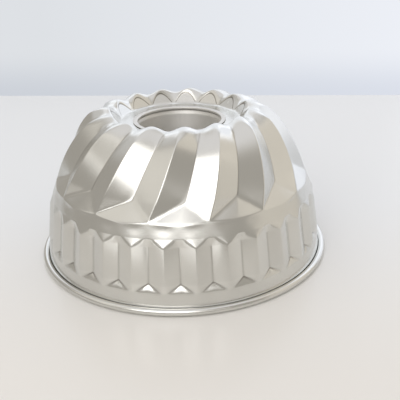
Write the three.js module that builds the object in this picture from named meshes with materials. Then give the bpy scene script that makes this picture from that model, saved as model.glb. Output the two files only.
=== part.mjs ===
// A fluted tube pan of tinplate, standing on its rim with the crown up.
// Millimetres, +Z up. The origin is the middle of the circle that the rim stands on.
// It is made of three pieces: the pressed body, the steel wire that its rim is rolled round,
// and the centre tube, whose flange and swaged bead grip the edge of the crown.
import * as THREE from "three";

// Sheet and fits
const SHEET = 0.4; // thickness of the tinplate
const FIT = 0.3; // clearance between pieces that touch

// Rolled rim
const RIM_RADIUS = 110; // outermost edge of the roll
const WIRE_DIAMETER = 3.4; // steel wire inside the roll
const ROLL_SIDES = 10; // flats in a full turn of the roll
const ROLL_FREE_SIDES = 1; // flats left out between the free edge and the wall

// Fluted wall, whose heights stack up from the surface that the rim stands on
const WALL_TAPER = 8; // degrees that the wall leans in
const SKIRT_HEIGHT = 14; // plain band below the wall flutes
const FOOT_FACET_HEIGHT = 5.5; // triangle at the foot of a wall valley
const WALL_FLUTE_LENGTH = 25.2; // straight stretch of a wall flute
const WALL_RIDGE = 0.8; // how far a wall ridge stands out of the plain cone
const WALL_VALLEY = 2.2; // how far a wall valley is set into it
const FOOT_FACET_SHARE = 0.72; // width of a foot triangle, as a share of the pitch
const HEAD_FACET_SHARE = 0.76; // width of the triangle over a wall ridge, likewise

// Shoulder between the wall and the dome
const HEAD_FACET_HEIGHT = 5.3; // triangle that cuts off the head of a wall ridge
const HEAD_FACET_STEP = 1.1; // how far its upper edge is set in from the wall's line
const BAND_HEIGHT = 9.8; // plain band from there up to the feet of the dome ridges
const BAND_LEAN = 21; // degrees that the band leans in
const LEDGE_DIP = 1.4; // how far the band's upper edge dips between those feet

// Swirled dome
const DOME_FLUTES = 15; // ridges round the dome
const WALL_FLUTES_PER_RIDGE = 2; // wall flutes under each of them
const DOME_RISE = 50.4; // from the feet of the ridges to the crest
const DOME_LEAN = 18.6; // degrees from upright at which a ridge leaves the shoulder
const DOME_FULLNESS = 0.552; // how long a ridge keeps that lean, as a share of the rise
const CREST_FULLNESS = 0.42; // how far from the crest a ridge levels off, as a share of its run
const FLUTE_DEPTH = 6; // depth of a valley, square to the line of the ridges
const CREST_DEPTH = 3.4; // depth that is left at the crest
const FLUTE_FADE = 2.5; // how late along a ridge the depth goes over from one to the other, as a power
const FLUTE_START = 0.158; // where along a ridge the valley beside it begins
const TWIST = 16.8; // degrees that a ridge swings round between shoulder and crest
const TWIST_EASE = 0.9; // how that swing is spread along the ridge, as a power
const CREST_TWIST = 2.4; // degrees more between the crest and the tip of its inner facet
const SWIRL_START = -8; // degrees from +X to the foot of the first ridge

// Crown inside the crest, whose radii stack up from the bore of the tube
const TUBE_BORE_RADIUS = 30.75; // bore at the crown
const CROWN_WIDTH = 14.05; // flat ring from the hole to the tips of the kite facets
const KITE_RUN = 6.65; // how far a kite facet leans out from its lower tip to its upper one
const KITE_RISE = 7.8; // height between the two tips
const KITE_WAIST = 0.09; // height of its side corners, as a share of that height
const KITE_GAP = 0.17; // gap between two kites at their side corners, as a share of the pitch
const CREST_RUN = 2.4; // from the upper tip out to the crest
const CREST_DROP = 2.7; // from the crest down to the upper tip
const CREST_BEND = 1.9; // length of the level stretch that the crest's bend starts from

// Centre tube
const TUBE_MOUTH_RADIUS = 17.5; // bore at the lower end
const TUBE_END_HEIGHT = 2.4; // lower end above the surface that the rim stands on
const FLANGE_WIDTH = 3.4; // flange on top of the crown, measured from the bore
const LIP_RADIUS = 0.7; // round of the bore into the flange
const SWAGE_PROUD = 1.3; // bead under the crown, out of the neck of the tube
const SWAGE_SLOPE = 2.9; // height of its long lower side
const SWAGE_FLAT = 0.7; // height between its two sides
const SWAGE_SHOULDER = 0.8; // height of its short upper side
const HEM_HEIGHT = 3; // hem folded outwards at the lower end
const HEM_THICKNESS = 0.8;
const HEM_EDGE = 0.3; // chamfer of the hem

// Pattern
const POINTS_PER_WALL_FLUTE = 4; // valley, corner, ridge, corner
const TURNED_POINTS = 4; // points of a plain circle for each dome flute
const WIRE_SIDES = 8;
const LIP_STEPS = 3;
const COLUMNS = POINTS_PER_WALL_FLUTE * WALL_FLUTES_PER_RIDGE; // points of a wall circle per dome flute
const DOME_STATIONS = [FLUTE_START, 0.3, 0.45, 0.6, 0.74, 0.87, 1];
const PITCH = (2 * Math.PI) / DOME_FLUTES;

const radians = THREE.MathUtils.degToRad;
const place = (r, z) => new THREE.Vector2(r, z);

// Square to a line in the section, on the side that is outward for a line that climbs.
const squareTo = (line) => place(line.y, -line.x).normalize();
const between = (a, b) => a.clone().add(b).normalize();

// Sizes that follow from the driving ones
const rollFlat = radians(180 / ROLL_SIDES);
const rollInside = (WIRE_DIAMETER / 2 + FIT) / Math.cos(rollFlat);
const rollOutside = rollInside + SHEET;
const rollAngles = Array.from({ length: ROLL_SIDES - ROLL_FREE_SIDES + 1 }, (_, i) =>
  Math.PI - 2 * rollFlat * (ROLL_FREE_SIDES + i),
);
const rollDepth = Math.max(...rollAngles.map((angle) => -rollOutside * Math.sin(angle)));
const wireCentre = place(RIM_RADIUS - rollOutside, rollDepth);
const taper = Math.tan(radians(WALL_TAPER));
const wallNormal = place(1, taper).normalize();
const wallAt = (z) => place(wireCentre.x - rollInside - taper * (z - wireCentre.y), z);
const fluteFoot = SKIRT_HEIGHT + FOOT_FACET_HEIGHT;
const fluteHead = fluteFoot + WALL_FLUTE_LENGTH;
const bandFootHeight = fluteHead + HEAD_FACET_HEIGHT;
const bandFoot = place(wallAt(bandFootHeight).x - HEAD_FACET_STEP, bandFootHeight);
const bandLine = place(-Math.tan(radians(BAND_LEAN)), 1);
const bandNormal = squareTo(bandLine);
const bandAt = (rise) => bandFoot.clone().addScaledVector(bandLine, rise);
const domeFoot = bandAt(BAND_HEIGHT);
const tubeNeck = TUBE_BORE_RADIUS + SHEET;
const holeRadius = tubeNeck + FIT;
const crestHeight = domeFoot.y + DOME_RISE;
const crownHeight = crestHeight - CREST_DROP - KITE_RISE;
const kiteFoot = place(holeRadius + CROWN_WIDTH, crownHeight);
const kiteTip = place(kiteFoot.x + KITE_RUN, crownHeight + KITE_RISE);
const crest = place(kiteTip.x + CREST_RUN, crestHeight);
const lean = radians(DOME_LEAN);
const leanHandle = place(-Math.sin(lean), Math.cos(lean)).multiplyScalar(DOME_FULLNESS * DOME_RISE);
const ridgeLine = new THREE.CubicBezierCurve(
  domeFoot,
  domeFoot.clone().add(leanHandle),
  place(crest.x + CREST_FULLNESS * (domeFoot.x - crest.x), crestHeight),
  crest,
);
const valleyCrest = place(crest.x, crestHeight - CREST_DEPTH);
const kiteWaist = kiteFoot.clone().lerp(kiteTip, KITE_WAIST);
const kiteReach = (1 - KITE_GAP) / 2; // from the middle of a kite to its side corner, in pitches
const kiteCorner = place(kiteWaist.x / Math.cos(PITCH * kiteReach), kiteWaist.y); // keeps the kite flat
const ridgeCrest = new THREE.QuadraticBezierCurve(crest, place(crest.x - CREST_BEND, crestHeight), kiteTip);
const valleyFall = new THREE.LineCurve(valleyCrest, kiteCorner);

// A pressed sheet, made of closed rings of points on its outer face. Each point has a twin on the inner face,
// one thickness in along its normal, and an order, which says when a seam between two rings moves on to it.
class PressedSheet {
  vertices = [];
  faces = [];
  outer = [];
  inner = [];

  addRing(points) {
    this.outer.push(points.map((point) => this.addVertex(point, 0)));
    this.inner.push(points.map((point) => this.addVertex(point, SHEET)));
  }

  addVertex({ order, azimuth, at, normal }, depth) {
    const spot = at.clone().addScaledVector(normal, -depth);
    this.vertices.push(spot.x * Math.cos(azimuth), spot.x * Math.sin(azimuth), spot.y);
    return { order, index: this.vertices.length / 3 - 1 };
  }

  // Triangles between two rings, facing out for a lower ring and the one above it.
  join(lower, upper) {
    const turn = COLUMNS * DOME_FLUTES;
    const orderOf = (ring, i) => ring[i % ring.length].order + (i < ring.length ? 0 : turn);
    const indexOf = (ring, i) => ring[i % ring.length].index;
    let low = 0;
    let high = 0;
    while (low < lower.length || high < upper.length) {
      const lowNext = low < lower.length ? orderOf(lower, low + 1) : Infinity;
      const highNext = high < upper.length ? orderOf(upper, high + 1) : Infinity;
      const corners = [indexOf(lower, low), indexOf(upper, high)];
      if (lowNext <= highNext) {
        low += 1;
        this.faces.push(corners[0], indexOf(lower, low), corners[1]);
      } else {
        high += 1;
        this.faces.push(corners[0], indexOf(upper, high), corners[1]);
      }
    }
  }

  geometry() {
    for (let i = 1; i < this.outer.length; i += 1) {
      this.join(this.outer[i - 1], this.outer[i]);
      this.join(this.inner[i], this.inner[i - 1]);
    }
    this.join(this.inner.at(0), this.outer.at(0));
    this.join(this.outer.at(-1), this.inner.at(-1));
    const made = new THREE.BufferGeometry();
    made.setAttribute("position", new THREE.Float32BufferAttribute(this.vertices, 3));
    made.setIndex(this.faces);
    made.computeVertexNormals();
    return made;
  }
}

// One point for each count of a dome flute, all the way round.
function pointsRound(count, makePoint) {
  const points = [];
  for (let flute = 0; flute < DOME_FLUTES; flute += 1)
    for (let i = 0; i < count; i += 1) points.push(makePoint(flute, i));
  return points;
}

// A plain circle.
function turnedRing(at, normal, start = 0) {
  return pointsRound(TURNED_POINTS, (flute, i) => ({
    order: COLUMNS * (flute + i / TURNED_POINTS),
    azimuth: start + PITCH * (flute + i / TURNED_POINTS),
    at,
    normal,
  }));
}

// A ring of the wall or shoulder, whose section is a function of how far round the dome flute a point lies.
// A facet's edge runs from each corner to the valley and ridge beside it, above the corner for a lead of 1
// and below it for a lead of -1.
function wallRing(section, { corner, depth = 0, lead = 0 }) {
  const phases = [0, corner, 0.5, 1 - corner];
  return pointsRound(COLUMNS, (flute, i) => {
    const phase = phases[i % POINTS_PER_WALL_FLUTE];
    const small = Math.floor(i / POINTS_PER_WALL_FLUTE) + phase;
    const height = THREE.MathUtils.lerp(-WALL_VALLEY, WALL_RIDGE, 1 - Math.abs(2 * phase - 1));
    const isCorner = i % 2 === 1;
    const { at, normal } = section(small / WALL_FLUTES_PER_RIDGE);
    return {
      order: COLUMNS * flute + i + (isCorner ? lead : -lead) / POINTS_PER_WALL_FLUTE,
      azimuth: PITCH * (flute + small / WALL_FLUTES_PER_RIDGE),
      at: at.clone().addScaledVector(normal, depth * height),
      normal,
    };
  });
}

// A ring of the dome that runs in and out between ridge and valley. With early valleys, each valley point
// takes the whole arc between the two ridges below it: the triangle that closes the flute's lower end.
function swirlRing(twist, ridge, valley, { earlyValleys = false } = {}) {
  const orders = earlyValleys ? [0.1, 0.2] : [0, COLUMNS / 2];
  return pointsRound(2, (flute, i) => ({
    order: COLUMNS * flute + orders[i],
    azimuth: twist + PITCH * (flute + i / 2),
    ...(i === 0 ? ridge : valley),
  }));
}

// The upper tips of the kite facets and their side corners, with the end of a valley between two kites.
function kiteRing(twist, tip, side) {
  const phases = [0, kiteReach, 1 - kiteReach];
  return pointsRound(phases.length, (flute, i) => ({
    order: COLUMNS * (flute + phases[i]),
    azimuth: twist + PITCH * (flute + phases[i]),
    ...(i === 0 ? tip : side),
  }));
}

// The lower tips of the kite facets, each reached from the two side corners of its kite.
function kiteFootRing(twist, normal) {
  return pointsRound(1, (flute) => ({
    order: COLUMNS * (flute - 1 / TURNED_POINTS),
    azimuth: twist + PITCH * flute,
    at: kiteFoot,
    normal,
  }));
}

function flutedBody() {
  const sheet = new PressedSheet();
  const up = place(0, 1);
  const twist = radians(TWIST);
  const crownTwist = twist + radians(CREST_TWIST);

  for (const angle of rollAngles) {
    const spoke = place(Math.cos(angle), Math.sin(angle));
    sheet.addRing(turnedRing(wireCentre.clone().addScaledVector(spoke, rollInside), spoke.clone().negate()));
  }

  const corner = FOOT_FACET_SHARE / 2;
  const headCorner = (1 - HEAD_FACET_SHARE) / 2;
  const onWall = (z) => () => ({ at: wallAt(z), normal: wallNormal });
  sheet.addRing(wallRing(onWall(SKIRT_HEIGHT), { corner }));
  sheet.addRing(wallRing(onWall(fluteFoot), { corner, depth: 1, lead: 1 }));
  sheet.addRing(wallRing(onWall(fluteHead), { corner: headCorner, depth: 1 }));

  const bandEdge = { at: bandFoot, normal: between(wallNormal, bandNormal) };
  sheet.addRing(wallRing(() => bandEdge, { corner: headCorner, lead: -1 }));

  // The flat triangles of the dome cut the band in arcs that dip between the feet of the ridges.
  const ledgeNormal = between(bandNormal, squareTo(ridgeLine.getTangent(0)));
  const ledge = (round) => {
    const dip = LEDGE_DIP * (1 - (2 * round - 1) ** 2);
    return { at: bandAt(BAND_HEIGHT - dip), normal: ledgeNormal };
  };
  sheet.addRing(wallRing(ledge, { corner: headCorner }));

  for (const t of DOME_STATIONS) {
    const at = ridgeLine.getPoint(t);
    const normal = squareTo(ridgeLine.getTangent(t));
    const depth = THREE.MathUtils.lerp(FLUTE_DEPTH, CREST_DEPTH, t ** FLUTE_FADE);
    const valley = { at: at.clone().addScaledVector(normal, -depth), normal };
    const swing = twist * t ** TWIST_EASE;
    sheet.addRing(swirlRing(swing, { at, normal }, valley, { earlyValleys: t === FLUTE_START }));
  }

  const along = (curve, t) => ({ at: curve.getPoint(t), normal: squareTo(curve.getTangent(t)) });
  const kiteNormal = squareTo(kiteFoot.clone().sub(kiteTip));
  const tip = { at: kiteTip, normal: between(along(ridgeCrest, 1).normal, kiteNormal) };
  sheet.addRing(swirlRing((twist + crownTwist) / 2, along(ridgeCrest, 0.5), along(valleyFall, 0.5)));
  sheet.addRing(kiteRing(crownTwist, tip, along(valleyFall, 1)));
  sheet.addRing(kiteFootRing(crownTwist, between(kiteNormal, up)));

  const flangeRadius = TUBE_BORE_RADIUS + FLANGE_WIDTH;
  const crownMiddle = (flangeRadius + kiteFoot.x * Math.cos(PITCH / 2)) / 2;
  for (const r of [crownMiddle, holeRadius]) sheet.addRing(turnedRing(place(r, crownHeight), up, crownTwist));
  return sheet.geometry();
}

// A section turned about the upright axis, closed on itself.
function turned(section) {
  const made = new THREE.LatheGeometry([...section, section[0]], TURNED_POINTS * DOME_FLUTES);
  return made.rotateX(Math.PI / 2);
}

function centreTube() {
  const flangeTop = crownHeight + FIT + SHEET;
  const flangeUnder = crownHeight + FIT;
  const swageTop = crownHeight - SHEET - FIT;
  const swageEnd = swageTop - SWAGE_SHOULDER - SWAGE_FLAT - SWAGE_SLOPE;
  const hemTop = TUBE_END_HEIGHT + HEM_HEIGHT;
  const slant = (TUBE_BORE_RADIUS - TUBE_MOUTH_RADIUS) / (swageEnd - TUBE_END_HEIGHT);
  const boreAt = (z) => TUBE_MOUTH_RADIUS + slant * (z - TUBE_END_HEIGHT);
  const lip = Array.from({ length: LIP_STEPS + 1 }, (_, i) => {
    const angle = Math.PI - (i * Math.PI) / 2 / LIP_STEPS;
    return place(
      TUBE_BORE_RADIUS + LIP_RADIUS * (1 + Math.cos(angle)),
      flangeTop - LIP_RADIUS * (1 - Math.sin(angle)),
    );
  });
  const bead = (radius) => [
    place(radius, swageEnd),
    place(radius + SWAGE_PROUD, swageEnd + SWAGE_SLOPE),
    place(radius + SWAGE_PROUD, swageTop - SWAGE_SHOULDER),
    place(radius, swageTop),
  ];
  const hemOutside = boreAt(TUBE_END_HEIGHT) + SHEET + HEM_THICKNESS;
  return turned([
    ...[place(boreAt(TUBE_END_HEIGHT), TUBE_END_HEIGHT), ...bead(TUBE_BORE_RADIUS), ...lip].reverse(),
    place(hemOutside - HEM_EDGE, TUBE_END_HEIGHT),
    place(hemOutside, TUBE_END_HEIGHT + HEM_EDGE),
    place(boreAt(hemTop) + SHEET + HEM_THICKNESS, hemTop - HEM_EDGE),
    place(boreAt(hemTop) + SHEET, hemTop),
    ...bead(tubeNeck),
    place(tubeNeck, flangeUnder),
    place(TUBE_BORE_RADIUS + FLANGE_WIDTH, flangeUnder),
    place(TUBE_BORE_RADIUS + FLANGE_WIDTH, flangeTop),
  ]);
}

function rimWire() {
  const section = Array.from({ length: WIRE_SIDES }, (_, i) => {
    const angle = (2 * Math.PI * (i + 0.5)) / WIRE_SIDES;
    return place(Math.cos(angle), Math.sin(angle)).multiplyScalar(WIRE_DIAMETER / 2).add(wireCentre);
  });
  return turned(section);
}

const tinplate = new THREE.MeshStandardMaterial({ color: 0xb7b3a9, roughness: 0.34, metalness: 1 });
const tubeTinplate = new THREE.MeshStandardMaterial({ color: 0xaeaba2, roughness: 0.38, metalness: 1 });
const steelWire = new THREE.MeshStandardMaterial({ color: 0x8c8a86, roughness: 0.45, metalness: 1 });

function piece(name, geometry, material) {
  const mesh = new THREE.Mesh(geometry, material);
  mesh.name = name;
  return mesh;
}

const pan = new THREE.Group();
pan.rotation.z = radians(SWIRL_START);
pan.add(piece("fluted_body", flutedBody(), tinplate));
pan.add(piece("centre_tube", centreTube(), tubeTinplate));
pan.add(piece("rim_wire", rimWire(), steelWire));

export default pan;
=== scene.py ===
"""A fluted tube pan of tinplate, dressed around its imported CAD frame.

The pan stands crown up on its rolled rim, with the swirl of the dome as photographed. Sizes in the
classes are millimetres and degrees. Meshes go to Blender in metres, in the frame's own axes.
"""

import logging
import math
from dataclasses import dataclass
from enum import Enum

import bpy
import numpy as np
from mathutils import Matrix, Vector


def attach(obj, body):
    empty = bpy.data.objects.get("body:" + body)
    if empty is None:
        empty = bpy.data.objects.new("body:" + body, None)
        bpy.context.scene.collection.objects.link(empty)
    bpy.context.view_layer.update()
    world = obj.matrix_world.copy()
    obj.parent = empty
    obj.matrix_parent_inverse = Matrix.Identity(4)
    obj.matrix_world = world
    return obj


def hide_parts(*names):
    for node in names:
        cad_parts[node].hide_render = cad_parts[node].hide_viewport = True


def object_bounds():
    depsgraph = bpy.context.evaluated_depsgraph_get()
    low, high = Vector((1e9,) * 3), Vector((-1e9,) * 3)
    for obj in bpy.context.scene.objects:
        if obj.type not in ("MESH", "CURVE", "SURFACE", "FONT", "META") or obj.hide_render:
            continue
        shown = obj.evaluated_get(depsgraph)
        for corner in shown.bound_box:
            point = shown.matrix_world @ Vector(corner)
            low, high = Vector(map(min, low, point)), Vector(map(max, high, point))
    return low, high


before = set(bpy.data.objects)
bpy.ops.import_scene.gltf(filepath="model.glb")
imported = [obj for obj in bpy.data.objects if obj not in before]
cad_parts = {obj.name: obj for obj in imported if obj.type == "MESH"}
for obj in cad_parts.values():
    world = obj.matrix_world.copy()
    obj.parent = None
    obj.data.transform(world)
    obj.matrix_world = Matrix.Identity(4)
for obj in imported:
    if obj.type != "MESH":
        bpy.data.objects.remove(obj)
CAD_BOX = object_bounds()

MM = 0.001
BODY = "root"
LOG = logging.getLogger("fluted_tube_pan")

# Sockets of Blender's colour mix node, which shares their names with its other modes
MIX_FACTOR, MIX_A, MIX_B, MIX_RESULT = 0, 6, 7, 2

# Mesh attribute for painted shade: dark lines along folds and under the roll, where shadow falls
PAINTED_SHADE = "painted_shade"

# Degrees of bend from which an edge is shaded sharp, where a piece has no value of its own
SHARP_BEND = 40.0

# Stands in for a length of zero that something is divided by
TINY = 1e-9


class Node(Enum):
    """The CAD nodes, one for each piece."""

    BODY = "fluted_body"
    TUBE = "centre_tube"
    WIRE = "rim_wire"


class Slot(Enum):
    """The record's material slots."""

    BODY = "tinplate"
    TUBE = "tube_tinplate"
    WIRE = "steel_wire"


def linear(hex_colour: str) -> tuple[float, float, float, float]:
    """Turns an sRGB hex colour into linear light.

    Args:
        hex_colour: a number sign and six hex digits.

    Returns:
        Red, green, blue and an alpha of 1.
    """
    channels = [int(hex_colour[i : i + 2], 16) / 255 for i in (1, 3, 5)]
    # The curve and its straight foot are those of the sRGB standard
    parts = [c / 12.92 if c <= 0.04045 else ((c + 0.055) / 1.055) ** 2.4 for c in channels]
    return (*parts, 1.0)


def add_node(
    tree: bpy.types.NodeTree,
    kind: str,
    inputs: dict[str | int, object] | None = None,
    **settings: object,
) -> bpy.types.Node:
    """Adds one shader node.

    Args:
        tree: node tree that takes it.
        kind: Blender's name for the kind of node.
        inputs: for each input socket a plain value, or the output socket that feeds it.
        **settings: the node's own properties.

    Returns:
        The new node.
    """
    node = tree.nodes.new(kind)
    for name, value in settings.items():
        setattr(node, name, value)
    for name, value in (inputs or {}).items():
        if isinstance(value, bpy.types.NodeSocket):
            tree.links.new(value, node.inputs[name])
        else:
            node.inputs[name].default_value = value
    return node


def bare_tree(owner: bpy.types.Material | bpy.types.World) -> bpy.types.NodeTree:
    """Gives a new material or world an empty node tree.

    Args:
        owner: what the tree belongs to.

    Returns:
        The tree.
    """
    owner.use_nodes = True
    owner.node_tree.nodes.clear()
    return owner.node_tree


def blend(start: np.ndarray, end: np.ndarray, share: np.ndarray | float) -> np.ndarray:
    """Goes a share of the way from start to end."""
    return start + (end - start) * share


def steps(count: int) -> np.ndarray:
    """Even steps above 0, up to 1."""
    return np.linspace(0, 1, count + 1)[1:]


def eased_steps(count: int) -> np.ndarray:
    """Steps above 0, up to 1, that lie close together at both ends."""
    return (1 - np.cos(math.pi * steps(count))) / 2


def bezier(control: list[np.ndarray], share: np.ndarray | float) -> np.ndarray:
    """Points of a Bezier curve.

    Args:
        control: its control points.
        share: how far along it, as one number or as an array whose last axis has length 1.

    Returns:
        One point for each share.
    """
    points = control
    while len(points) > 1:
        points = [blend(a, b, share) for a, b in zip(points, points[1:])]
    return points[0]


def square_to(control: list[np.ndarray], share: np.ndarray | float) -> np.ndarray:
    """Unit vectors square to a Bezier curve in the section, outward where it climbs.

    Args:
        control: the curve's control points.
        share: how far along it, as for bezier.

    Returns:
        One vector for each share.
    """
    line = bezier([b - a for a, b in zip(control, control[1:])], share)
    turned = np.stack([line[..., 1], -line[..., 0]], axis=-1)
    return turned / np.linalg.norm(turned, axis=-1, keepdims=True)


def stand_round(section: np.ndarray, azimuth: np.ndarray) -> np.ndarray:
    """Places points of the section round the upright axis.

    Args:
        section: radius and height, of one point or of one for each azimuth.
        azimuth: radians round the axis.

    Returns:
        Points in space, one for each azimuth.
    """
    radius = np.broadcast_to(section[..., 0], azimuth.shape)
    height = np.broadcast_to(section[..., 1], azimuth.shape)
    return np.stack([radius * np.cos(azimuth), radius * np.sin(azimuth), height], axis=-1)


def bent_rows(start: np.ndarray, bend: np.ndarray, end: np.ndarray, count: int) -> list[np.ndarray]:
    """Rows of points that run straight from start to bend and straight on to end, evenly in each column.

    Args:
        start: the row below the first one made.
        bend: where each column bends.
        end: the last row.
        count: number of rows.

    Returns:
        The rows.
    """
    first = np.linalg.norm(bend - start, axis=-1, keepdims=True)
    second = np.linalg.norm(end - bend, axis=-1, keepdims=True)
    rows = []
    for share in steps(count):
        run = share * (first + second)
        before = blend(start, bend, run / np.maximum(first, TINY))
        after = blend(bend, end, (run - first) / np.maximum(second, TINY))
        rows.append(np.where(run <= first, before, after))
    return rows


def between_sides(grid: np.ndarray) -> np.ndarray:
    """For each point in a grid of closed rows, the middle between its two neighbours in the row."""
    return (np.roll(grid, 1, axis=1) + np.roll(grid, -1, axis=1)) / 2


def arc(
    centre: np.ndarray | tuple[float, float], radius: float, start: float, end: float, count: int
) -> list[np.ndarray]:
    """Points of an arc in the section.

    Args:
        centre: its middle, as radius and height.
        radius: its own radius.
        start: degrees where it starts, anticlockwise from outward.
        end: degrees where it ends.
        count: number of steps between the two.

    Returns:
        The points, both ends among them.
    """
    angles = np.radians(np.linspace(start, end, count + 1))
    return [np.array(centre) + radius * np.array([math.cos(a), math.sin(a)]) for a in angles]


def make_object(
    name: str, vertices: np.ndarray, faces: list[list[int]], sharp: float = SHARP_BEND
) -> bpy.types.Object:
    """Makes a smooth mesh object.

    Args:
        name: the piece's name.
        vertices: points in millimetres.
        faces: the vertex numbers of each face.
        sharp: degrees of bend from which an edge is shaded sharp.

    Returns:
        The object, in the scene.
    """
    mesh = bpy.data.meshes.new(name)
    mesh.from_pydata((vertices * MM).tolist(), [], faces)
    mesh.shade_smooth()
    mesh.set_sharp_from_angle(angle=math.radians(sharp))
    made = bpy.data.objects.new(name, mesh)
    bpy.context.scene.collection.objects.link(made)
    return made


def quads_between(lower: np.ndarray, upper: np.ndarray) -> list[list[int]]:
    """Four-sided faces between closed rings of vertex numbers and the rings above them."""
    corners = (lower, np.roll(lower, -1, axis=-1), np.roll(upper, -1, axis=-1), upper)
    return np.stack(corners, axis=-1).reshape(-1, 4).tolist()


def turn_section(name: str, section: list[np.ndarray], columns: int) -> bpy.types.Object:
    """Turns a closed section about the upright axis.

    Args:
        name: the piece's name.
        section: radius and height of its corners, anticlockwise.
        columns: number of steps round the axis.

    Returns:
        The turned object.
    """
    azimuth = 2 * math.pi * np.arange(columns) / columns
    vertices = np.concatenate([stand_round(corner, azimuth) for corner in section])
    rings = np.arange(len(vertices)).reshape(len(section), columns)
    return make_object(name, vertices, quads_between(rings, np.roll(rings, -1, axis=0)))


@dataclass(frozen=True)
class TinplateFinish:
    """Tinplate: thin steel sheet with a coat of tin, rolled bright and then pressed or drawn.

    The eye sees a pale grey metal, a trace warm, with a satin sheen: soft reflections, faint clouds where
    the tin flowed, hair lines from the rolling, and folds that the press and kitchen cloths have rubbed
    brighter. Creases and marked lines are darkened with painted shade, where shadow falls in the folds.
    """

    name: str
    colour: str = "#dfdfdb"
    cloud_colour: str = "#d6d5d1"
    rubbed_colour: str = "#ebece8"
    crease_shade_colour: str = "#757067"
    roughness: float = 0.22
    roughness_spread: float = 0.04
    rubbed_gloss: float = 0.08
    # Blender's measure of bend, which is 0.5 on a flat sheet, more on a fold and less in a crease
    rubbed_bend: tuple[float, float] = (0.52, 0.62)
    crease_bend: tuple[float, float] = (0.49, 0.43)
    # Values of the clouds' noise between which the gloss changes
    cloud_low: float = 0.3
    cloud_high: float = 0.7
    cloud_mm: float = 28.0
    grain_mm: float = 0.9
    grain_length_mm: float = 30.0
    grain_depth_mm: float = 0.004
    dent_mm: float = 18.0
    dent_depth_mm: float = 0.04

    def material(self) -> bpy.types.Material:
        """Builds the material.

        Returns:
            A material of its own name.
        """
        made = bpy.data.materials.new(self.name)
        tree = bare_tree(made)
        place = add_node(tree, "ShaderNodeTexCoord").outputs["Object"]

        # Clouds in the tin, a few centimetres across, shift the colour and the gloss a little
        clouds = add_node(
            tree,
            "ShaderNodeTexNoise",
            {"Vector": place, "Scale": 1 / (self.cloud_mm * MM), "Detail": 4.0, "Roughness": 0.55},
        ).outputs["Fac"]
        # Hair lines of the rolling are really about 0.05 mm apart and are drawn coarser so that they show
        stretch = (self.grain_mm / self.grain_length_mm, 1.0, 1.0)
        stretched = add_node(tree, "ShaderNodeMapping", {"Vector": place, "Scale": stretch})
        grain = add_node(
            tree,
            "ShaderNodeTexNoise",
            {"Vector": stretched.outputs["Vector"], "Scale": 1 / (self.grain_mm * MM), "Detail": 3.0},
        ).outputs["Fac"]
        # The sheet lies a little uneven after pressing
        scale = 1 / (self.dent_mm * MM)
        dents = add_node(tree, "ShaderNodeTexNoise", {"Vector": place, "Scale": scale, "Detail": 1.0})
        # Folds that stand out of the sheet are rubbed first, and creases and the attribute's lines get
        # painted shade
        pointed = add_node(tree, "ShaderNodeNewGeometry").outputs["Pointiness"]
        rubbed, creases = (
            add_node(
                tree,
                "ShaderNodeMapRange",
                {"Value": pointed, "From Min": start, "From Max": end},
                interpolation_type="SMOOTHSTEP",
            ).outputs["Result"]
            for start, end in (self.rubbed_bend, self.crease_bend)
        )
        lines = add_node(tree, "ShaderNodeAttribute", attribute_name=PAINTED_SHADE).outputs["Fac"]
        # Painted shade: the darker of the shaded creases and the painted lines
        shaded_lines = add_node(tree, "ShaderNodeMath", {0: creases, 1: lines}, operation="MAXIMUM")
        layers = (
            (clouds, self.cloud_colour),
            (rubbed, self.rubbed_colour),
            (shaded_lines.outputs["Value"], self.crease_shade_colour),
        )
        colour = linear(self.colour)
        for cover, layer_colour in layers:
            layer = add_node(
                tree,
                "ShaderNodeMix",
                {MIX_FACTOR: cover, MIX_A: colour, MIX_B: linear(layer_colour)},
                data_type="RGBA",
            )
            colour = layer.outputs[MIX_RESULT]
        satin = add_node(
            tree,
            "ShaderNodeMapRange",
            {
                "Value": clouds,
                "From Min": self.cloud_low,
                "From Max": self.cloud_high,
                "To Min": self.roughness - self.roughness_spread,
                "To Max": self.roughness + self.roughness_spread,
            },
        )
        gloss = add_node(
            tree,
            "ShaderNodeMath",
            {0: rubbed, 1: -self.rubbed_gloss, 2: satin.outputs["Result"]},
            operation="MULTIPLY_ADD",
        ).outputs["Value"]
        uneven = add_node(
            tree,
            "ShaderNodeBump",
            {"Height": dents.outputs["Fac"], "Distance": self.dent_depth_mm * MM},
        ).outputs["Normal"]
        lined = add_node(
            tree,
            "ShaderNodeBump",
            {"Height": grain, "Distance": self.grain_depth_mm * MM, "Normal": uneven},
        ).outputs["Normal"]
        metal = add_node(
            tree,
            "ShaderNodeBsdfPrincipled",
            {"Metallic": 1.0, "Base Color": colour, "Roughness": gloss, "Normal": lined},
        )
        add_node(tree, "ShaderNodeOutputMaterial", {"Surface": metal.outputs["BSDF"]})
        return made


@dataclass(frozen=True)
class DrawnWireFinish:
    """Drawn mild steel wire, left bare inside the roll.

    The eye sees a darker grey metal than the tin, with dull marks from the drawing.
    """

    name: str = "drawn_steel_wire"
    colour: str = "#8f8c87"
    dull_colour: str = "#6d6a66"
    roughness: float = 0.42
    mark_mm: float = 0.6

    def material(self) -> bpy.types.Material:
        """Builds the material.

        Returns:
            A material of its own name.
        """
        made = bpy.data.materials.new(self.name)
        tree = bare_tree(made)
        place = add_node(tree, "ShaderNodeTexCoord").outputs["Object"]
        scale = 1 / (self.mark_mm * MM)
        marks = add_node(tree, "ShaderNodeTexNoise", {"Vector": place, "Scale": scale, "Detail": 2.0})
        dull = marks.outputs["Fac"]
        colour = add_node(
            tree,
            "ShaderNodeMix",
            {MIX_FACTOR: dull, MIX_A: linear(self.colour), MIX_B: linear(self.dull_colour)},
            data_type="RGBA",
        )
        metal = add_node(
            tree,
            "ShaderNodeBsdfPrincipled",
            {"Metallic": 1.0, "Base Color": colour.outputs[MIX_RESULT], "Roughness": self.roughness},
        )
        add_node(tree, "ShaderNodeOutputMaterial", {"Surface": metal.outputs["BSDF"]})
        return made


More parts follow.
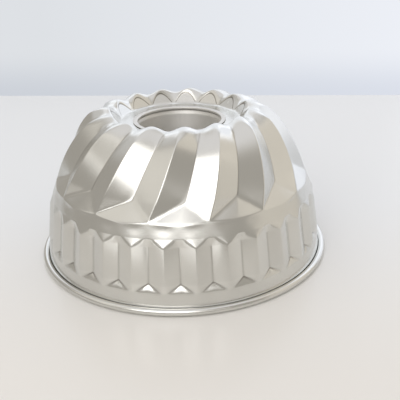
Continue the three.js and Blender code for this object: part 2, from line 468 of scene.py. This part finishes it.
@dataclass(frozen=True)
class WallPaintFinish:
    """Pale emulsion paint on a wall that daylight washes over from one side.

    Its colour holds painted light: a cool white that dims towards one side, and painted shade lower down
    where the table hides the light. The wall glows with this colour for the camera and the metal, and
    every other ray finds a plain matt wall.
    """

    name: str = "pale_paint_and_painted_daylight"
    bright_colour: str = "#eff2f9"
    dim_colour: str = "#dee1e5"
    painted_low_shade: str = "#eceef2"
    wash_mm: float = 1500.0
    low_from_mm: float = -200.0
    low_to_mm: float = -380.0

    def material(self) -> bpy.types.Material:
        """Builds the material.

        Returns:
            A material of its own name.
        """
        made = bpy.data.materials.new(self.name)
        tree = bare_tree(made)
        place = add_node(tree, "ShaderNodeTexCoord").outputs["Object"]
        spot = add_node(tree, "ShaderNodeSeparateXYZ", {"Vector": place}).outputs
        # Painted light: brighter towards one side, where daylight falls on the wall
        half = self.wash_mm * MM / 2
        wash = add_node(
            tree,
            "ShaderNodeMapRange",
            {"Value": spot["X"], "From Min": -half, "From Max": half},
        ).outputs["Result"]
        # Painted shade towards the foot of the wall, where the table hides the light
        low = add_node(
            tree,
            "ShaderNodeMapRange",
            {"Value": spot["Z"], "From Min": self.low_from_mm * MM, "From Max": self.low_to_mm * MM},
            interpolation_type="SMOOTHSTEP",
        ).outputs["Result"]
        washed = add_node(
            tree,
            "ShaderNodeMix",
            {MIX_FACTOR: wash, MIX_A: linear(self.dim_colour), MIX_B: linear(self.bright_colour)},
            data_type="RGBA",
        ).outputs[MIX_RESULT]
        colour = add_node(
            tree,
            "ShaderNodeMix",
            {MIX_FACTOR: low, MIX_A: washed, MIX_B: linear(self.painted_low_shade)},
            data_type="RGBA",
            blend_type="MULTIPLY",
        ).outputs[MIX_RESULT]
        # The wall glows with its painted light for camera and glossy rays
        ray = add_node(tree, "ShaderNodeLightPath").outputs
        shown = ray["Is Camera Ray"]
        for kind in ("Is Glossy Ray", "Is Transmission Ray"):
            either = add_node(tree, "ShaderNodeMath", {0: shown, 1: ray[kind]}, operation="MAXIMUM")
            shown = either.outputs["Value"]
        paint = add_node(tree, "ShaderNodeBsdfDiffuse", {"Color": colour})
        glow = add_node(tree, "ShaderNodeEmission", {"Color": colour, "Strength": 1.0})
        wall = add_node(
            tree,
            "ShaderNodeMixShader",
            {0: shown, 1: paint.outputs["BSDF"], 2: glow.outputs["Emission"]},
        )
        add_node(tree, "ShaderNodeOutputMaterial", {"Surface": wall.outputs["Shader"]})
        return made


@dataclass(frozen=True)
class SatinLaminateFinish:
    """White laminate with a satin face, for the table top.

    The eye sees a plain pale surface with the faintest unevenness of tone. Painted light makes it warm
    in front and cooler towards the back, where the daylight of the wall reaches it.
    """

    name: str = "white_satin_laminate_and_painted_daylight"
    colour: str = "#ece9e4"
    far_daylight_colour: str = "#eaecee"
    daylight_from_mm: float = -190.0
    daylight_to_mm: float = 130.0
    patch_mm: float = 220.0
    patch_strength: float = 0.15
    roughness: float = 0.26

    def material(self) -> bpy.types.Material:
        """Builds the material.

        Returns:
            A material of its own name.
        """
        made = bpy.data.materials.new(self.name)
        tree = bare_tree(made)
        place = add_node(tree, "ShaderNodeTexCoord").outputs["Object"]
        scale = 1 / (self.patch_mm * MM)
        patches = add_node(tree, "ShaderNodeTexNoise", {"Vector": place, "Scale": scale, "Detail": 2.0})
        # Painted light: cooler towards the back, where the daylight of the wall falls, with patches of
        # tone on top
        along = add_node(tree, "ShaderNodeSeparateXYZ", {"Vector": place}).outputs["Y"]
        painted_daylight = add_node(
            tree,
            "ShaderNodeMapRange",
            {"Value": along, "From Min": self.daylight_from_mm * MM, "From Max": self.daylight_to_mm * MM},
            interpolation_type="SMOOTHSTEP",
        )
        tone_and_daylight = add_node(
            tree,
            "ShaderNodeMath",
            {0: patches.outputs["Fac"], 1: self.patch_strength, 2: painted_daylight.outputs["Result"]},
            operation="MULTIPLY_ADD",
            use_clamp=True,
        ).outputs["Value"]
        colour = add_node(
            tree,
            "ShaderNodeMix",
            {MIX_FACTOR: tone_and_daylight, MIX_A: linear(self.colour), MIX_B: linear(self.far_daylight_colour)},
            data_type="RGBA",
        )
        paint = add_node(
            tree,
            "ShaderNodeBsdfPrincipled",
            {"Base Color": colour.outputs[MIX_RESULT], "Roughness": self.roughness},
        )
        add_node(tree, "ShaderNodeOutputMaterial", {"Surface": paint.outputs["BSDF"]})
        return made


@dataclass
class PressedBody:
    """The body, pressed from one sheet: rolled rim, fluted wall, shoulder, swirled dome and crown.

    Its outer face is a grid. The rows run from the free edge of the roll, up the wall and over the dome
    to the hole in the crown, and the columns follow the swirl of the flutes. The inner face lies one
    thickness behind it. Sections are radius and height.
    """

    crest_height: float
    # The roll and the wall
    rim_radius: float = 110.0
    sheet: float = 0.4
    roll_radius: float = 2.5
    roll_free_edge: float = 140.0
    roll_end: float = -180.0
    wall_taper: float = 8.0
    skirt_height: float = 14.0
    foot_facet_height: float = 5.5
    foot_facet_share: float = 0.82
    foot_cushion: float = 0.38
    wall_flutes: int = 30
    wall_flute_length: float = 25.2
    wall_ridge: float = 0.8
    wall_valley: float = 2.2
    wall_bulge: float = 0.2
    # The shoulder
    head_facet_share: float = 0.76
    head_facet_height: float = 5.3
    head_facet_step: float = 1.1
    band_height: float = 9.8
    band_lean: float = 21.0
    ledge_dip: float = 1.4
    scoop_depth: float = 0.24
    scoop_skew: float = 1.8
    # The dome and its swirl
    flutes: int = 15
    dome_lean: float = 18.6
    dome_fullness: float = 0.552
    crest_fullness: float = 0.42
    flute_depth: float = 6.0
    crest_depth: float = 4.4
    flute_fade: float = 2.5
    flute_start: float = 0.158
    twist: float = 16.8
    twist_ease: float = 0.9
    crest_twist: float = 2.4
    swirl_start: float = -8.0
    # The crest, the kite-shaped facets inside it and the crown
    crest_run: float = 2.4
    crest_drop: float = 2.7
    crest_bend: float = 1.3
    crest_sink: float = 0.65
    gap_bend: tuple[float, float] = (3.0, 4.6)
    kite_run: float = 6.65
    kite_rise: float = 7.8
    kite_waist: float = 0.09
    kite_gap: float = 0.17
    kite_arch: float = 1.0
    crown_width: float = 12.0
    hole_radius: float = 31.45
    # Columns and rows of the mesh
    columns_per_flute: int = 48
    folds_per_flute: int = 4
    fold_crowding: float = 0.5
    roll_rows: int = 16
    skirt_rows: int = 5
    foot_rows: int = 10
    wall_flute_rows: int = 7
    head_rows: int = 10
    band_rows: int = 11
    ledge_rows: int = 13
    flute_rows: int = 22
    crest_rows: int = 9
    kite_rows: int = 11
    flat_rows: int = 5
    inner_column_step: int = 4
    inner_row_step: int = 2
    sharp_bend: float = 60.0
    # How the folds are rounded
    fold_passes: int = 3
    fold_pull: float = 0.5
    hole_edge_rows: int = 3
    crest_passes: int = 60
    crest_reach: int = 8
    # Painted shade in the folds and painted contact shadow under the roll
    shade_share: float = 0.05
    valley_shade: float = 0.3
    unshaded_rows: int = 2
    roll_shade_middle: float = -54.0
    roll_shade_spread: float = 60.0

    def __post_init__(self) -> None:
        """Places the columns and works out the sections that the rows are made from."""
        # The columns crowd together at the folds of wall and dome, four to a dome flute
        even = np.arange(self.flutes * self.columns_per_flute) / self.columns_per_flute
        turn = 2 * math.pi * self.folds_per_flute
        self.phase = even - self.fold_crowding * np.sin(turn * even) / turn
        self.wall_phase = self.phase * (self.wall_flutes / self.flutes)
        self.pitch = 2 * math.pi / self.flutes
        self.roll_centre = np.array([self.rim_radius - self.roll_radius, self.roll_radius])
        self.roll_inside = self.roll_radius - self.sheet
        self.taper = math.tan(math.radians(self.wall_taper))
        self.wall_normal = np.array([1, self.taper]) / math.hypot(1, self.taper)
        self.flute_foot = self.skirt_height + self.foot_facet_height
        self.flute_head = self.flute_foot + self.wall_flute_length
        band_foot = self.flute_head + self.head_facet_height
        self.band_foot = self.wall_at(band_foot) - np.array([self.head_facet_step, 0])
        self.band_line = np.array([-math.tan(math.radians(self.band_lean)), 1])
        # The crest starts higher by as much as it sinks when its folds are rounded
        crest_top = self.crest_height + self.crest_sink
        crown_height = self.crest_height - self.crest_drop - self.kite_rise
        self.kite_foot = np.array([self.hole_radius + self.crown_width, crown_height])
        self.kite_tip = self.kite_foot + np.array([self.kite_run, self.kite_rise])
        self.crest = np.array([self.kite_tip[0] + self.crest_run, crest_top])
        foot = self.band_foot + self.band_height * self.band_line
        rise = crest_top - foot[1]
        lean = math.radians(self.dome_lean)
        handle = self.dome_fullness * rise * np.array([-math.sin(lean), math.cos(lean)])
        level = np.array([self.crest_fullness * (foot[0] - self.crest[0]), 0])
        self.ridge_line = [foot, foot + handle, self.crest + level, self.crest]

    def wall_at(self, height: float) -> np.ndarray:
        """Section point of the plain wall at a height."""
        start = self.roll_centre[0] - self.roll_inside
        return np.array([start - self.taper * (height - self.roll_centre[1]), height])

    def swing(self, share: float) -> float:
        """Radians that the flutes have swung round, a share of the way along a ridge."""
        return math.radians(self.twist) * share**self.twist_ease

    def valley_at(self, share: float) -> np.ndarray:
        """Section point of a dome valley, a share of the way along a ridge."""
        depth = blend(self.flute_depth, self.crest_depth, share**self.flute_fade)
        return bezier(self.ridge_line, share) - depth * square_to(self.ridge_line, share)

    def round_row(self, section: np.ndarray, swing: float = 0) -> np.ndarray:
        """A row with each column at its own azimuth."""
        return stand_round(section, self.pitch * self.phase + swing)

    def zigzag_row(
        self,
        ridge: np.ndarray,
        ridge_swing: float,
        valley: np.ndarray,
        valley_swing: float,
        gap: float = 0.0,
    ) -> np.ndarray:
        """A row of straight lines between the ridges and the valleys.

        Args:
            ridge: section point on a ridge.
            ridge_swing: radians that the ridges have swung round there.
            valley: section point in a valley.
            valley_swing: radians that the valleys have swung round there.
            gap: width of a valley's floor, as a share of the pitch.

        Returns:
            The row.
        """
        corners = np.array([0, (1 - gap) / 2, (1 + gap) / 2, 1])
        sections = np.stack([ridge, valley, valley, ridge])
        swings = np.array([ridge_swing, valley_swing, valley_swing, ridge_swing])
        flute = np.floor(self.phase)
        across = self.phase - flute
        line = np.searchsorted(corners, across, side="right") - 1
        ends = [
            stand_round(sections[i], self.pitch * (flute + corners[i]) + swings[i])
            for i in (line, line + 1)
        ]
        share = (across - corners[line]) / (corners[line + 1] - corners[line])
        return blend(*ends, share[:, None])

    def from_valley(self) -> np.ndarray:
        """How far each column is from a valley of the wall, 0, towards a ridge, 0.5."""
        return np.abs((self.wall_phase + 0.5) % 1 - 0.5)

    def flute_offset(self, share: float, corner: float) -> np.ndarray:
        """How far the wall flutes stand out of the plain wall.

        Towards the ends of a flute its ridge and its valley run out into flat triangles, which leave
        a tip of the flute's wall between them.

        Args:
            share: height of the flute, from 0 past its end to 1 along its whole length.
            corner: where between valley, 0, and ridge, 0.5, that tip ends.

        Returns:
            One offset for each column.
        """
        reach = np.clip(corner + (self.from_valley() - corner) / max(share, TINY), 0, 0.5)
        flat = 2 * reach
        bulged = flat * (2 - flat)
        return share * blend(-self.wall_valley, self.wall_ridge, blend(flat, bulged, self.wall_bulge))

    def rim_rows(self) -> list[np.ndarray]:
        """Makes the roll, from its free edge round under the wire to the foot of the wall.

        Returns:
            Its rows.
        """
        start, end, count = self.roll_free_edge, self.roll_end, self.roll_rows - 1
        points = arc(self.roll_centre, self.roll_inside, start, end, count)
        return [self.round_row(point) for point in points]

    def wall_steps(self) -> list[tuple[float, float]]:
        """Spaces the rows of the plain skirt, of the triangles at the flutes' feet and of the flutes.

        Returns:
            Height of each row, and the share of the flutes' depth that it has.
        """
        heights = []
        for share in eased_steps(self.skirt_rows):
            heights.append((blend(self.roll_centre[1], self.skirt_height, share), 0.0))
        for share in eased_steps(self.foot_rows):
            heights.append((blend(self.skirt_height, self.flute_foot, share), share))
        for share in eased_steps(self.wall_flute_rows):
            heights.append((blend(self.flute_foot, self.flute_head, share), 1.0))
        return heights

    def cushion(self, share: float) -> np.ndarray:
        """How far the triangles at the feet of the wall flutes swell.

        Args:
            share: height in the triangles, from 0 at the foot to 1 at the tip.

        Returns:
            One offset for each column.
        """
        side = max((1 - share) * self.foot_facet_share / 2, TINY)
        across = np.clip(self.from_valley() / side, 0, 1)
        return self.foot_cushion * (1 - across**2) * 4 * share * (1 - share)

    def wall_rows(self) -> list[np.ndarray]:
        """Makes the plain skirt and the wall flutes with the triangles at their feet.

        Returns:
            Their rows.
        """
        corner = self.foot_facet_share / 2
        rows = []
        for height, share in self.wall_steps():
            offset = self.flute_offset(share, corner) + self.cushion(share)
            rows.append(self.round_row(self.wall_at(height) + offset[:, None] * self.wall_normal))
        return rows

    def shoulder_rows(self) -> list[np.ndarray]:
        """Makes the triangles that cut off the heads of the wall ridges, and the band up to the dome.

        Returns:
            Their rows.
        """
        corner = (1 - self.head_facet_share) / 2
        head = self.wall_at(self.flute_head)
        rows = []
        for share in eased_steps(self.head_rows):
            offset = self.flute_offset(1 - share, corner)[:, None]
            rows.append(self.round_row(blend(head, self.band_foot, share) + offset * self.wall_normal))
        for share in eased_steps(self.band_rows):
            plain = blend(self.band_foot, self.ledge(), share)
            rows.append(self.round_row(plain - self.scoop(share)[:, None] * self.wall_normal))
        return rows

    def scoop(self, share: float) -> np.ndarray:
        """How far the band is hollowed over each wall ridge, a share of the way up to the dome."""
        over_ridge = (1 - np.cos(2 * math.pi * self.wall_phase)) / 2
        return self.scoop_depth * over_ridge * math.sin(math.pi * share**self.scoop_skew)

    def ledge(self) -> np.ndarray:
        """Draws the line where the dome's flat triangles cut the band, lowest between the ridges.

        Returns:
            One section point for each column.
        """
        off_middle = 2 * (self.phase % 1) - 1
        rise = self.band_height - self.ledge_dip * (1 - off_middle**2)
        return self.band_foot + rise[:, None] * self.band_line

    def dome_rows(self) -> list[np.ndarray]:
        """Makes the flat triangle at the lower end of each dome flute, then the flutes up to the crest.

        Returns:
            Their rows.
        """
        start = self.flute_start
        foot = bezier(self.ridge_line, 0.0)
        ledge = self.round_row(self.ledge())
        side = self.zigzag_row(foot, 0.0, self.valley_at(start), self.swing(start))
        rows = bent_rows(ledge, side, self.flute_row(start), self.ledge_rows)
        return rows + [self.flute_row(blend(start, 1.0, share)) for share in steps(self.flute_rows)]

    def flute_row(self, share: float) -> np.ndarray:
        """A row across the dome flutes, a share of the way along the ridges."""
        swing = self.swing(share)
        return self.zigzag_row(bezier(self.ridge_line, share), swing, self.valley_at(share), swing)

    def crown_rows(self) -> list[np.ndarray]:
        """Goes over the crest, down the kite-shaped facets, and across the flat crown to the hole.

        Returns:
            The rows.
        """
        crown_swing = math.radians(self.twist + self.crest_twist)
        waist = blend(self.kite_foot, self.kite_tip, self.kite_waist)
        reach = (1 - self.kite_gap) / 2
        side_corner = np.array([waist[0] / math.cos(self.pitch * reach), waist[1]])
        inward = np.array([-self.crest_bend, 0])
        valley = self.valley_at(1.0)
        over_ridge = [self.crest, self.crest + inward, self.kite_tip]
        over_valley = [valley, side_corner + np.array(self.gap_bend), side_corner]
        rows = []
        for share in steps(self.crest_rows):
            swing = blend(self.swing(1.0), crown_swing, share)
            ridge, floor = bezier(over_ridge, share), bezier(over_valley, share)
            edge = self.zigzag_row(ridge, swing, floor, swing, share * self.kite_gap)
            rows.append(edge + share * self.kite_bow(swing))
        between_feet = np.array([self.kite_foot[0] * math.cos(self.pitch / 2), self.kite_foot[1]])
        side = self.zigzag_row(self.kite_foot, crown_swing, side_corner, crown_swing, self.kite_gap)
        foot = self.zigzag_row(self.kite_foot, crown_swing, between_feet, crown_swing)
        rows += bent_rows(rows[-1], side, foot, self.kite_rows)
        hole = self.round_row(np.array([self.hole_radius, self.kite_foot[1]]), crown_swing)
        return rows + [blend(foot, hole, share) for share in steps(self.flat_rows)]

    def off_kite_middle(self) -> np.ndarray:
        """How far each column is from the middle of a kite, 0, towards its side, 1, and past it."""
        from_ridge = np.abs((self.phase + 0.5) % 1 - 0.5)
        return 2 * from_ridge / (1 - self.kite_gap)

    def kite_bow(self, swing: float) -> np.ndarray:
        """How far the upper edge of each kite bows out of its straight sides, within the kite's plane.

        Args:
            swing: radians that the kites have swung round.

        Returns:
            One shift in space for each column.
        """
        off_middle = self.off_kite_middle()
        bow = self.kite_arch * np.clip(off_middle * (1 - off_middle), 0, None)
        slope = (1 - self.kite_waist) * (self.kite_tip - self.kite_foot)
        return bow[:, None] * stand_round(slope, self.pitch * np.round(self.phase) + swing)

    def painted_shade(self, row_count: int, crest_row: int) -> np.ndarray:
        """How far painted shade darkens the outer face.

        It is painted as a contact shadow under the roll, and as shade round the triangles at the feet of
        the wall flutes, in the valleys of wall and dome and along the upper edges of the kites.

        Args:
            row_count: number of rows of the outer face.
            crest_row: the row on the crest.

        Returns:
            A share for each point, in rows.
        """
        dark = np.zeros((row_count, len(self.phase)))
        # Painted contact shadow on the underside of the roll, where it stands on the table
        roll_angles = np.linspace(self.roll_free_edge, self.roll_end, self.roll_rows)
        from_middle = np.abs(roll_angles - self.roll_shade_middle) / self.roll_shade_spread
        dark[: self.roll_rows] = np.clip(1 - from_middle, 0, 1)[:, None]
        # Painted shade round the triangles at the feet of the wall flutes and along the wall valleys
        for row, (_, share) in enumerate(self.wall_steps(), self.roll_rows):
            strength = share if share < 1 else self.valley_shade
            off_line = np.abs(self.from_valley() - (1 - share) * self.foot_facet_share / 2)
            dark[row] = strength * np.clip(1 - off_line / self.shade_share, 0, 1)
        # Painted shade along the dome valleys and along the upper edges of the kites
        off_fold = np.abs(self.phase % 1 - 0.5)
        fold_line = np.clip(1 - 2 * off_fold / self.shade_share, 0, 1)
        dark[crest_row - self.flute_rows : crest_row - self.unshaded_rows] = self.valley_shade * fold_line
        dark[crest_row + self.crest_rows] = self.off_kite_middle() < 1
        return dark

    def round_folds(self, grid: np.ndarray, crest_row: int) -> np.ndarray:
        """Gives the folds of the sheet their bend, by drawing each point towards its neighbours.

        Args:
            grid: rows of points with sharp folds.
            crest_row: the row on the crest, where the folds run out into a soft wave.

        Returns:
            The rows with round folds. The roll and the edge of the hole stay as they were.
        """
        moved = grid.copy()
        inner = slice(self.roll_rows, -self.hole_edge_rows)
        for _ in range(self.fold_passes):
            over = (moved[:-2] + moved[2:]) / 2
            pull = between_sides(moved)
            pull[1:-1] = (pull[1:-1] + over) / 2
            moved[inner] = blend(moved[inner], pull[inner], self.fold_pull)
        # The wave takes the whole pull within half its reach of the crest, and less and less beyond that
        from_crest = np.abs(np.arange(len(grid)) - crest_row)
        softness = np.clip(2 * (1 - from_crest / self.crest_reach), 0, 1)[:, None, None]
        for _ in range(self.crest_passes):
            moved = blend(moved, between_sides(moved), softness * self.fold_pull)
        return moved

    def inner_face(self, grid: np.ndarray) -> np.ndarray:
        """Lays the inner face one thickness behind the outer one.

        Args:
            grid: points of the outer face, in rows.

        Returns:
            Points of the inner face, in the same rows.
        """
        round_way = np.roll(grid, -1, axis=1) - np.roll(grid, 1, axis=1)
        up_way = np.gradient(grid, axis=0)
        normal = np.cross(round_way, up_way)
        return grid - self.sheet * normal / np.linalg.norm(normal, axis=-1, keepdims=True)

    def build(self) -> bpy.types.Object:
        """Builds the sheet with both its faces.

        Returns:
            The body, which stands for its CAD node.
        """
        rows = [*self.rim_rows(), *self.wall_rows(), *self.shoulder_rows(), *self.dome_rows()]
        crest_row = len(rows) - 1
        rows += self.crown_rows()
        outer = self.round_folds(np.stack(rows), crest_row)
        # The inner face has fewer columns, and fewer rows but for those of the roll, which show
        step = self.inner_column_step
        last = len(rows) - 1
        kept = [*range(self.roll_rows), *range(self.roll_rows + 1, last, self.inner_row_step), last]
        inner = self.inner_face(outer)[kept][:, ::step]
        outside = np.arange(outer[..., 0].size).reshape(outer.shape[:2])
        inside = outside.size + np.arange(inner[..., 0].size).reshape(inner.shape[:2])
        faces = quads_between(outside[:-1], outside[1:]) + quads_between(inside[1:], inside[:-1])
        for out, back, edge in ((outside[0], inside[0], -1), (outside[-1], inside[-1], 1)):
            along = [out[i::step] for i in range(step)]
            ends = (*along, np.roll(along[0], -1), np.roll(back, -1), back)
            faces += np.stack(ends[::edge], axis=-1).tolist()
        vertices = np.concatenate([outer.reshape(-1, 3), inner.reshape(-1, 3)])
        turn = np.array(Matrix.Rotation(math.radians(self.swirl_start), 3, "Z"))
        body = make_object("pressed_body", vertices @ turn.T, faces, self.sharp_bend)
        # Painted shade on the outer face only
        dark = self.painted_shade(len(rows), crest_row).ravel()
        darkness = np.concatenate([dark, np.zeros(inside.size)])
        body.data.attributes.new(PAINTED_SHADE, "FLOAT", "POINT").data.foreach_set("value", darkness)
        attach(body, BODY)
        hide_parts(Node.BODY.value)
        return body


@dataclass
class CentreTube:
    """The tapered chimney, with a flange on the crown, a bead under it and a hem at the mouth."""

    crown_height: float
    sheet: float = 0.4
    fit: float = 0.3
    bore_radius: float = 30.75
    mouth_radius: float = 17.5
    end_height: float = 2.4
    flange_width: float = 3.4
    lip_radius: float = 0.7
    bead_proud: float = 1.3
    bead_height: float = 4.4
    bead_skew: float = 1.9
    hem_height: float = 3.0
    hem_thickness: float = 0.8
    columns: int = 192
    cone_steps: int = 16
    bead_steps: int = 14
    flange_edge_steps: int = 6
    lip_steps: int = 8
    hem_steps: int = 4

    def build(self) -> bpy.types.Object:
        """Builds the tube by turning its section.

        Returns:
            The tube, which stands for its CAD node.
        """
        flange_top = self.crown_height + self.fit + self.sheet
        bead_top = self.crown_height - self.sheet - self.fit
        bead_end = bead_top - self.bead_height
        neck = self.bore_radius + self.sheet
        mouth = np.array([self.mouth_radius, self.end_height])
        outside = np.array([self.sheet, 0])
        shoulder = np.array([self.bore_radius, bead_end])
        hem = self.hem_thickness / 2
        hem_top = blend(mouth, shoulder, self.hem_height / (bead_end - self.end_height))
        edge = self.sheet / 2
        flange_edge = (self.bore_radius + self.flange_width - edge, flange_top - edge)
        lip = (self.bore_radius + self.lip_radius, flange_top - self.lip_radius)
        hem_out = outside + np.array([hem, 0])
        section = [
            *[blend(mouth, shoulder, share) + outside for share in steps(self.cone_steps)],
            *self.bead(neck, bead_end, bead_top),
            np.array([neck, flange_top - self.sheet]),
            *arc(flange_edge, edge, -90, 90, self.flange_edge_steps),
            *arc(lip, self.lip_radius, 90, 180, self.lip_steps),
            *reversed(self.bead(self.bore_radius, bead_end, bead_top)),
            *[blend(shoulder, mouth, share) for share in steps(self.cone_steps)],
            *arc(mouth + hem_out + np.array([0, hem]), hem, -90, 0, self.hem_steps),
            *arc(hem_top + hem_out - np.array([0, hem]), hem, 0, 90, self.hem_steps),
        ]
        tube = turn_section("centre_tube_drawn", section, self.columns)
        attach(tube, BODY)
        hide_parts(Node.TUBE.value)
        return tube

    def bead(self, radius: float, low: float, high: float) -> list[np.ndarray]:
        """Draws the rounded bead on one face of the sheet, from its long low side to its short high one.

        Args:
            radius: of the face below and above the bead.
            low: height where the bead starts.
            high: height where it ends.

        Returns:
            Its section points.
        """
        points = []
        for share in (0.0, *steps(self.bead_steps)):
            proud = self.bead_proud * math.sin(math.pi * share**self.bead_skew)
            points.append(np.array([radius + proud, blend(low, high, share)]))
        return points


@dataclass
class RimWire:
    """The steel wire hoop inside the rolled rim."""

    hoop_radius: float = 107.5
    height: float = 2.5
    diameter: float = 3.4
    columns: int = 240
    section_steps: int = 16

    def build(self) -> bpy.types.Object:
        """Builds the hoop by turning a round section.

        Returns:
            The wire, which stands for its CAD node.
        """
        section = arc((self.hoop_radius, self.height), self.diameter / 2, 0, 360, self.section_steps)
        wire = turn_section("rim_wire_hoop", section[:-1], self.columns)
        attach(wire, BODY)
        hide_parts(Node.WIRE.value)
        return wire


@dataclass(frozen=True)
class Softbox:
    """A rectangular studio lamp with a cloth front."""

    name: str
    azimuth: float
    elevation: float
    width: float
    height: float
    radiance: float
    colour: str = "#f6f5f5"
    distance: float = 1400.0
    upright: bool = False

    def build(self, aim: Vector) -> bpy.types.Object:
        """Hangs the lamp so that it faces the pan, or stands it upright as a window is.

        Args:
            aim: point in metres that the lamp faces.

        Returns:
            The lamp.
        """
        lamp = bpy.data.lights.new(self.name, "AREA")
        lamp.shape = "RECTANGLE"
        lamp.size = self.width * MM
        lamp.size_y = self.height * MM
        lamp.color = linear(self.colour)[:3]
        lamp.energy = self.radiance * math.pi * lamp.size * lamp.size_y
        turn = math.radians(self.azimuth)
        rise = math.radians(self.elevation)
        away = Vector(
            (math.sin(turn) * math.cos(rise), -math.cos(turn) * math.cos(rise), math.sin(rise))
        )
        made = bpy.data.objects.new(self.name, lamp)
        made.location = aim + away * self.distance * MM
        facing = Vector((away.x, away.y, 0)) if self.upright else away
        made.rotation_euler = facing.to_track_quat("Z", "Y").to_euler()
        made.visible_camera = False
        bpy.context.scene.collection.objects.link(made)
        return made


@dataclass
class Studio:
    """A pale table top, a pale wall behind it, soft lamps and the light of the room."""

    table_back: float = 450.0
    table_front: float = -265.0
    table_side: float = 750.0
    table_turn: float = -7.7
    wall_distance: float = 1900.0
    wall_left: float = -1400.0
    wall_right: float = 2800.0
    wall_top: float = 3000.0
    wall_foot: float = -1500.0
    room_colour: str = "#fff9ef"
    ceiling_colour: str = "#f3f1f2"
    room_low: float = 0.45
    room_high: float = 1.0
    # How steeply one looks up where the ceiling starts and where it is all there is, 1 being straight up
    ceiling_from: float = 0.75
    ceiling_to: float = 0.95
    aim_height: float = 60.0
    # Each lamp has a name, azimuth and elevation, width and height, radiance and colour
    lamps: tuple[Softbox, ...] = (
        Softbox("window_front", -18, 44.3, 1020, 1515, 2.07, distance=1537, upright=True),
        Softbox("window_low", -26, -13, 1300, 200, 1.25),
        Softbox("window_left", -56, 18, 500, 240, 0.47),
        Softbox("window_right", 20, 20, 420, 340, 0.61),
        Softbox("glow_left", -78, 38, 900, 1000, 0.43, "#fffbf5"),
        Softbox("glow_left_back", -138, 36, 900, 900, 0.34, "#e8ecf6"),
        Softbox("glow_back", 180, 36, 1500, 1400, 0.44, "#e8ecf6"),
        Softbox("glow_right_back", 138, 22, 800, 1000, 0.38, "#e4e9f6"),
        Softbox("glow_right", 95, 36, 1300, 1000, 0.38, "#fff6e9"),
        Softbox("glow_right_low", 84, 6, 1400, 600, 0.3, "#fff6e9"),
    )

    def build(self) -> None:
        """Builds the table, the wall, the lamps and the room's light."""
        table = self.board(
            "table_top",
            (-self.table_side, self.table_front, 0),
            (self.table_side, self.table_back, 0),
            SatinLaminateFinish().material(),
        )
        wall = self.board(
            "back_wall",
            (self.wall_left, self.wall_distance, self.wall_foot),
            (self.wall_right, self.wall_distance, self.wall_top),
            WallPaintFinish().material(),
        )
        aim = Vector((0, 0, self.aim_height * MM))
        for lamp in self.lamps:
            lamp.build(aim)
        self.light_room()

    def board(
        self, name: str, start: tuple[float, ...], end: tuple[float, ...], finish: bpy.types.Material
    ) -> bpy.types.Object:
        """Makes a flat board with four corners, turned as the table is.

        Args:
            name: the board's name.
            start: its near or lower left corner in millimetres.
            end: the opposite corner.
            finish: its material.

        Returns:
            The board.
        """
        (left, front, low), (right, back, high) = start, end
        corners = [(left, front, low), (right, front, low), (right, back, high), (left, back, high)]
        board = make_object(name, np.array(corners), [[0, 1, 2, 3]])
        board.rotation_euler.z = math.radians(self.table_turn)
        board.data.materials.append(finish)
        return board

    def light_room(self) -> None:
        """Lights the room with its own pale colour, brighter under the ceiling than along the floor."""
        room = bpy.data.worlds.new("pale_room")
        tree = bare_tree(room)
        way = add_node(tree, "ShaderNodeTexCoord").outputs["Generated"]
        up = add_node(tree, "ShaderNodeSeparateXYZ", {"Vector": way}).outputs["Z"]
        rise = add_node(
            tree,
            "ShaderNodeMapRange",
            {"Value": up, "From Min": self.ceiling_from, "From Max": self.ceiling_to},
            interpolation_type="SMOOTHSTEP",
        ).outputs["Result"]
        colour = add_node(
            tree,
            "ShaderNodeMix",
            {MIX_FACTOR: rise, MIX_A: linear(self.room_colour), MIX_B: linear(self.ceiling_colour)},
            data_type="RGBA",
        )
        level = add_node(
            tree,
            "ShaderNodeMapRange",
            {"Value": rise, "To Min": self.room_low, "To Max": self.room_high},
        )
        glow = add_node(
            tree,
            "ShaderNodeBackground",
            {"Color": colour.outputs[MIX_RESULT], "Strength": level.outputs["Result"]},
        )
        add_node(tree, "ShaderNodeOutputWorld", {"Surface": glow.outputs["Background"]})
        bpy.context.scene.world = room


@dataclass
class PhotoCamera:
    """The camera, where the photograph was taken from."""

    place: tuple[float, float, float] = (0.0, -460.5, 237.1)
    pan: float = 1.668
    tilt: float = 23.789
    roll: float = -1.680
    lens: float = 58.1
    sensor: float = 36.0
    nearest: float = 10.0
    farthest: float = 50000.0

    def build(self) -> bpy.types.Object:
        """Builds the camera and makes it the scene's own.

        Returns:
            The camera.
        """
        data = bpy.data.cameras.new("photo_camera")
        data.lens = self.lens
        data.sensor_width = self.sensor
        data.clip_start = self.nearest * MM
        data.clip_end = self.farthest * MM
        camera = bpy.data.objects.new("photo_camera", data)
        turn = Matrix.Rotation(math.radians(-self.pan), 4, "Z")
        nod = Matrix.Rotation(math.radians(90 - self.tilt), 4, "X")
        lean = Matrix.Rotation(math.radians(self.roll), 4, "Z")
        camera.matrix_world = Matrix.Translation(Vector(self.place) * MM) @ turn @ nod @ lean
        bpy.context.scene.collection.objects.link(camera)
        bpy.context.scene.camera = camera
        return camera


def main() -> None:
    """Builds the pan piece by piece, then the studio round it."""
    bpy.context.scene.view_settings.view_transform = "Standard"
    body = PressedBody(crest_height=CAD_BOX[1][2] / MM)
    tube = CentreTube(crown_height=float(body.kite_foot[1]))
    wire = RimWire()
    finishes = (
        (body, TinplateFinish("pressed_satin_tinplate")),
        (tube, TinplateFinish("drawn_satin_tinplate", colour="#ebe9e6", roughness=0.55)),
        (wire, DrawnWireFinish()),
    )
    for part, finish in finishes:
        piece = part.build()
        piece.data.materials.append(finish.material())
        LOG.info("%s: %d faces", piece.name, len(piece.data.polygons))
    Studio().build()
    PhotoCamera().build()


if __name__ == "__main__":
    logging.basicConfig(level=logging.INFO)
    main()
